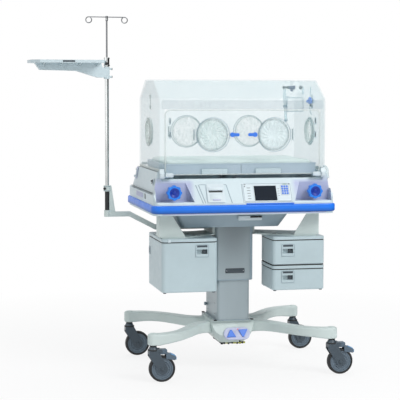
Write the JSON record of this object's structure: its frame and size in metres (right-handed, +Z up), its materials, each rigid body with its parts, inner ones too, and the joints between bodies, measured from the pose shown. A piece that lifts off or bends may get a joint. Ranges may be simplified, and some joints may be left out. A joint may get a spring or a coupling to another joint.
{
  "type": "infant incubator",
  "caption": "Infant incubator: clear hood with hand ports over a tilting bed, on a lifting column with drawers, casters and an infusion pole.",
  "frame": {"origin": "on the floor, under the middle of the whole object's box", "axes": "+X to the right as seen from the front, +Y to the back, +Z up"},
  "size_m": [1.5271, 0.7177, 1.726],
  "materials": {
    "cast_base": "satin powder coat on cast alloy",
    "column_metal": "satin anodised",
    "pedal_plate": "satin",
    "pedal_blue": "soft matte",
    "caster_slate": "satin moulded",
    "tyre": "matte",
    "brake_blue": "satin moulded",
    "cabinet_sheet": "satin powder coat",
    "cabinet_plastic": "satin moulded",
    "pan_grey": "satin painted sheet",
    "housing_white": "satin moulded",
    "bumper_blue": "soft gloss",
    "panel_white": "satin moulded",
    "screen_black": "gloss",
    "key_blue": "matte membrane",
    "knob_blue": "gloss",
    "motor_metal": "satin",
    "fan_plastic": "satin",
    "heater_metal": "satin",
    "bed_plastic": "satin translucent",
    "mattress_cover": "coated fabric",
    "clear_hood": "polished clear acrylic",
    "clear_port": "polished clear",
    "ring_white": "satin",
    "latch_blue": "gloss",
    "pole_chrome": "polished",
    "arm_grey": "satin powder coat",
    "shelf_plastic": "satin moulded"
  },
  "bodies": {
    "root": {"base_hub": "cast_base", "leg_front_left": "cast_base", "leg_front_right": "cast_base", "leg_back_left": "cast_base", "leg_back_right": "cast_base", "lower_column": "column_metal", "pedal_plate": "pedal_plate"},
    "caster_front_left": {"caster_fork_front_left": "caster_slate"},
    "wheel_front_left": {"caster_tyre_front_left": "tyre", "caster_hub_front_left": "caster_slate"},
    "brake_front_left": {"brake_lever_front_left": "brake_blue"},
    "caster_front_right": {"caster_fork_front_right": "caster_slate"},
    "wheel_front_right": {"caster_tyre_front_right": "tyre", "caster_hub_front_right": "caster_slate"},
    "brake_front_right": {"brake_lever_front_right": "brake_blue"},
    "caster_back_left": {"caster_fork_back_left": "caster_slate"},
    "wheel_back_left": {"caster_tyre_back_left": "tyre", "caster_hub_back_left": "caster_slate"},
    "caster_back_right": {"caster_fork_back_right": "caster_slate"},
    "wheel_back_right": {"caster_tyre_back_right": "tyre", "caster_hub_back_right": "caster_slate"},
    "pedal_up": {"pedal_up": "pedal_blue"},
    "pedal_down": {"pedal_down": "pedal_blue"},
    "lift": {"upper_column": "column_metal", "cross_arm": "cabinet_sheet", "cabinet_brackets": "cabinet_sheet", "cabinet_lid_left": "cabinet_plastic", "cabinet_lid_right": "cabinet_plastic", "lower_pan": "pan_grey", "main_housing": "housing_white", "bumper_rail": "bumper_blue", "control_panel": "panel_white", "display_screen": "screen_black", "keypad": "key_blue", "blower_motor": "motor_metal", "heater_ring": "heater_metal", "iv_arm": "arm_grey", "iv_pole": "pole_chrome"},
    "drawer_left": {"drawer_left": "cabinet_plastic"},
    "drawer_right_upper": {"drawer_right_upper": "cabinet_plastic"},
    "drawer_right_lower": {"drawer_right_lower": "cabinet_plastic"},
    "reservoir": {"water_reservoir": "panel_white"},
    "bed": {"bed_tray": "bed_plastic", "mattress": "mattress_cover"},
    "knob_left": {"tilt_knob_left": "knob_blue"},
    "knob_right": {"tilt_knob_right": "knob_blue"},
    "fan": {"blower_fan": "fan_plastic"},
    "hood": {"hood_shell": "clear_hood", "door_hinge_blocks": "ring_white", "end_port_rings": "ring_white"},
    "front_door": {"front_door": "clear_hood"},
    "port_front_left": {"port_door_front_left": "clear_port"},
    "port_rear_left": {"port_door_rear_left": "clear_port"},
    "latch_left": {"port_latch_left": "latch_blue"},
    "port_front_right": {"port_door_front_right": "clear_port"},
    "port_rear_right": {"port_door_rear_right": "clear_port"},
    "latch_right": {"port_latch_right": "latch_blue"},
    "rod": {"iv_rod": "pole_chrome"},
    "hooks": {"hook_bar": "pole_chrome"},
    "shelf": {"iv_tray": "shelf_plastic"}
  },
  "joints": [
    {"name": "caster_swivel_front_left", "type": "hinge", "parent": "root", "child": "caster_front_left", "pos_m": [-0.22225, -0.32575, 0.18], "axis": [0, 0, 1], "continuous": true},
    {"name": "wheel_spin_front_left", "type": "hinge", "parent": "caster_front_left", "child": "wheel_front_left", "pos_m": [-0.18025, -0.32575, 0.0625], "axis": [0, 1, 0], "continuous": true},
    {"name": "brake_press_front_left", "type": "hinge", "parent": "caster_front_left", "child": "brake_front_left", "pos_m": [-0.18925, -0.32575, 0.15], "axis": [0, 1, 0], "range_deg": [0, 8]},
    {"name": "caster_swivel_front_right", "type": "hinge", "parent": "root", "child": "caster_front_right", "pos_m": [0.65775, -0.32575, 0.18], "axis": [0, 0, 1], "continuous": true},
    {"name": "wheel_spin_front_right", "type": "hinge", "parent": "caster_front_right", "child": "wheel_front_right", "pos_m": [0.69975, -0.32575, 0.0625], "axis": [0, 1, 0], "continuous": true},
    {"name": "brake_press_front_right", "type": "hinge", "parent": "caster_front_right", "child": "brake_front_right", "pos_m": [0.69075, -0.32575, 0.15], "axis": [0, 1, 0], "range_deg": [0, 8]},
    {"name": "caster_swivel_back_left", "type": "hinge", "parent": "root", "child": "caster_back_left", "pos_m": [-0.22225, 0.33425, 0.18], "axis": [0, 0, 1], "continuous": true},
    {"name": "wheel_spin_back_left", "type": "hinge", "parent": "caster_back_left", "child": "wheel_back_left", "pos_m": [-0.18025, 0.33425, 0.0625], "axis": [0, 1, 0], "continuous": true},
    {"name": "caster_swivel_back_right", "type": "hinge", "parent": "root", "child": "caster_back_right", "pos_m": [0.65775, 0.33425, 0.18], "axis": [0, 0, 1], "continuous": true},
    {"name": "wheel_spin_back_right", "type": "hinge", "parent": "caster_back_right", "child": "wheel_back_right", "pos_m": [0.69975, 0.33425, 0.0625], "axis": [0, 1, 0], "continuous": true},
    {"name": "pedal_press_up", "type": "slide", "parent": "root", "child": "pedal_up", "axis": [0, 0.9135, -0.4067], "range_m": [0, 0.003], "stiffness_N_per_m": 900},
    {"name": "pedal_press_down", "type": "slide", "parent": "root", "child": "pedal_down", "axis": [0, 0.9135, -0.4067], "range_m": [0, 0.003], "stiffness_N_per_m": 900},
    {"name": "column_lift", "type": "slide", "parent": "root", "child": "lift", "axis": [0, 0, 1], "range_m": [-0.1, 0.1]},
    {"name": "drawer_left_slide", "type": "slide", "parent": "lift", "child": "drawer_left", "axis": [0, -1, 0], "range_m": [0, 0.25]},
    {"name": "drawer_right_upper_slide", "type": "slide", "parent": "lift", "child": "drawer_right_upper", "axis": [0, -1, 0], "range_m": [0, 0.16]},
    {"name": "drawer_right_lower_slide", "type": "slide", "parent": "lift", "child": "drawer_right_lower", "axis": [0, -1, 0], "range_m": [0, 0.16]},
    {"name": "reservoir_slide", "type": "slide", "parent": "lift", "child": "reservoir", "axis": [0, -1, 0], "range_m": [0, 0.15]},
    {"name": "bed_tilt", "type": "hinge", "parent": "lift", "child": "bed", "pos_m": [0.21775, 0.00425, 0.946], "axis": [0, 1, 0], "range_deg": [-8, 8]},
    {"name": "knob_turn_left", "type": "hinge", "parent": "lift", "child": "knob_left", "pos_m": [-0.12525, -0.29375, 0.893], "axis": [0, -1, 0], "range_deg": [-360, 360]},
    {"name": "knob_turn_right", "type": "hinge", "parent": "lift", "child": "knob_right", "pos_m": [0.56075, -0.29375, 0.893], "axis": [0, -1, 0], "range_deg": [-360, 360]},
    {"name": "fan_spin", "type": "hinge", "parent": "lift", "child": "fan", "pos_m": [0.36775, 0.05425, 0.858], "axis": [0, 0, 1], "continuous": true},
    {"name": "hood_tilt", "type": "hinge", "parent": "lift", "child": "hood", "pos_m": [0.21775, 0.22825, 0.988], "axis": [-1, 0, 0], "range_deg": [0, 60]},
    {"name": "front_door_swing", "type": "hinge", "parent": "hood", "child": "front_door", "pos_m": [0.21775, -0.30775, 0.965], "axis": [1, 0, 0], "range_deg": [0, 90]},
    {"name": "port_swing_front_left", "type": "hinge", "parent": "front_door", "child": "port_front_left", "pos_m": [-0.02325, -0.30575, 1.162], "axis": [0, 0, -1], "range_deg": [0, 110]},
    {"name": "port_swing_rear_left", "type": "hinge", "parent": "hood", "child": "port_rear_left", "pos_m": [-0.03725, 0.22125, 1.162], "axis": [0, 0, 1], "range_deg": [0, 110]},
    {"name": "latch_turn_left", "type": "hinge", "parent": "front_door", "child": "latch_left", "pos_m": [0.16225, -0.29875, 1.162], "axis": [0, -1, 0], "range_deg": [0, 40], "stiffness_Nm_per_rad": 0.2},
    {"name": "port_swing_front_right", "type": "hinge", "parent": "front_door", "child": "port_front_right", "pos_m": [0.45875, -0.30575, 1.162], "axis": [0, 0, 1], "range_deg": [0, 110]},
    {"name": "port_swing_rear_right", "type": "hinge", "parent": "hood", "child": "port_rear_right", "pos_m": [0.47275, 0.22125, 1.162], "axis": [0, 0, -1], "range_deg": [0, 110]},
    {"name": "latch_turn_right", "type": "hinge", "parent": "front_door", "child": "latch_right", "pos_m": [0.27325, -0.29875, 1.162], "axis": [0, 1, 0], "range_deg": [0, 40], "stiffness_Nm_per_rad": 0.2},
    {"name": "rod_slide", "type": "slide", "parent": "lift", "child": "rod", "axis": [0, 0, 1], "range_m": [-0.15, 0.15]},
    {"name": "hook_turn", "type": "hinge", "parent": "rod", "child": "hooks", "pos_m": [-0.38725, 0.00425, 1.706], "axis": [0, 0, 1], "continuous": true},
    {"name": "shelf_swivel", "type": "hinge", "parent": "lift", "child": "shelf", "pos_m": [-0.38725, 0.00425, 1.424], "axis": [0, 0, 1], "range_deg": [-120, 120]}
  ],
  "couplings": [
    {"joint": "knob_turn_left", "follows": "bed_tilt", "ratio": 45},
    {"joint": "knob_turn_right", "follows": "bed_tilt", "ratio": -45}
  ]
}
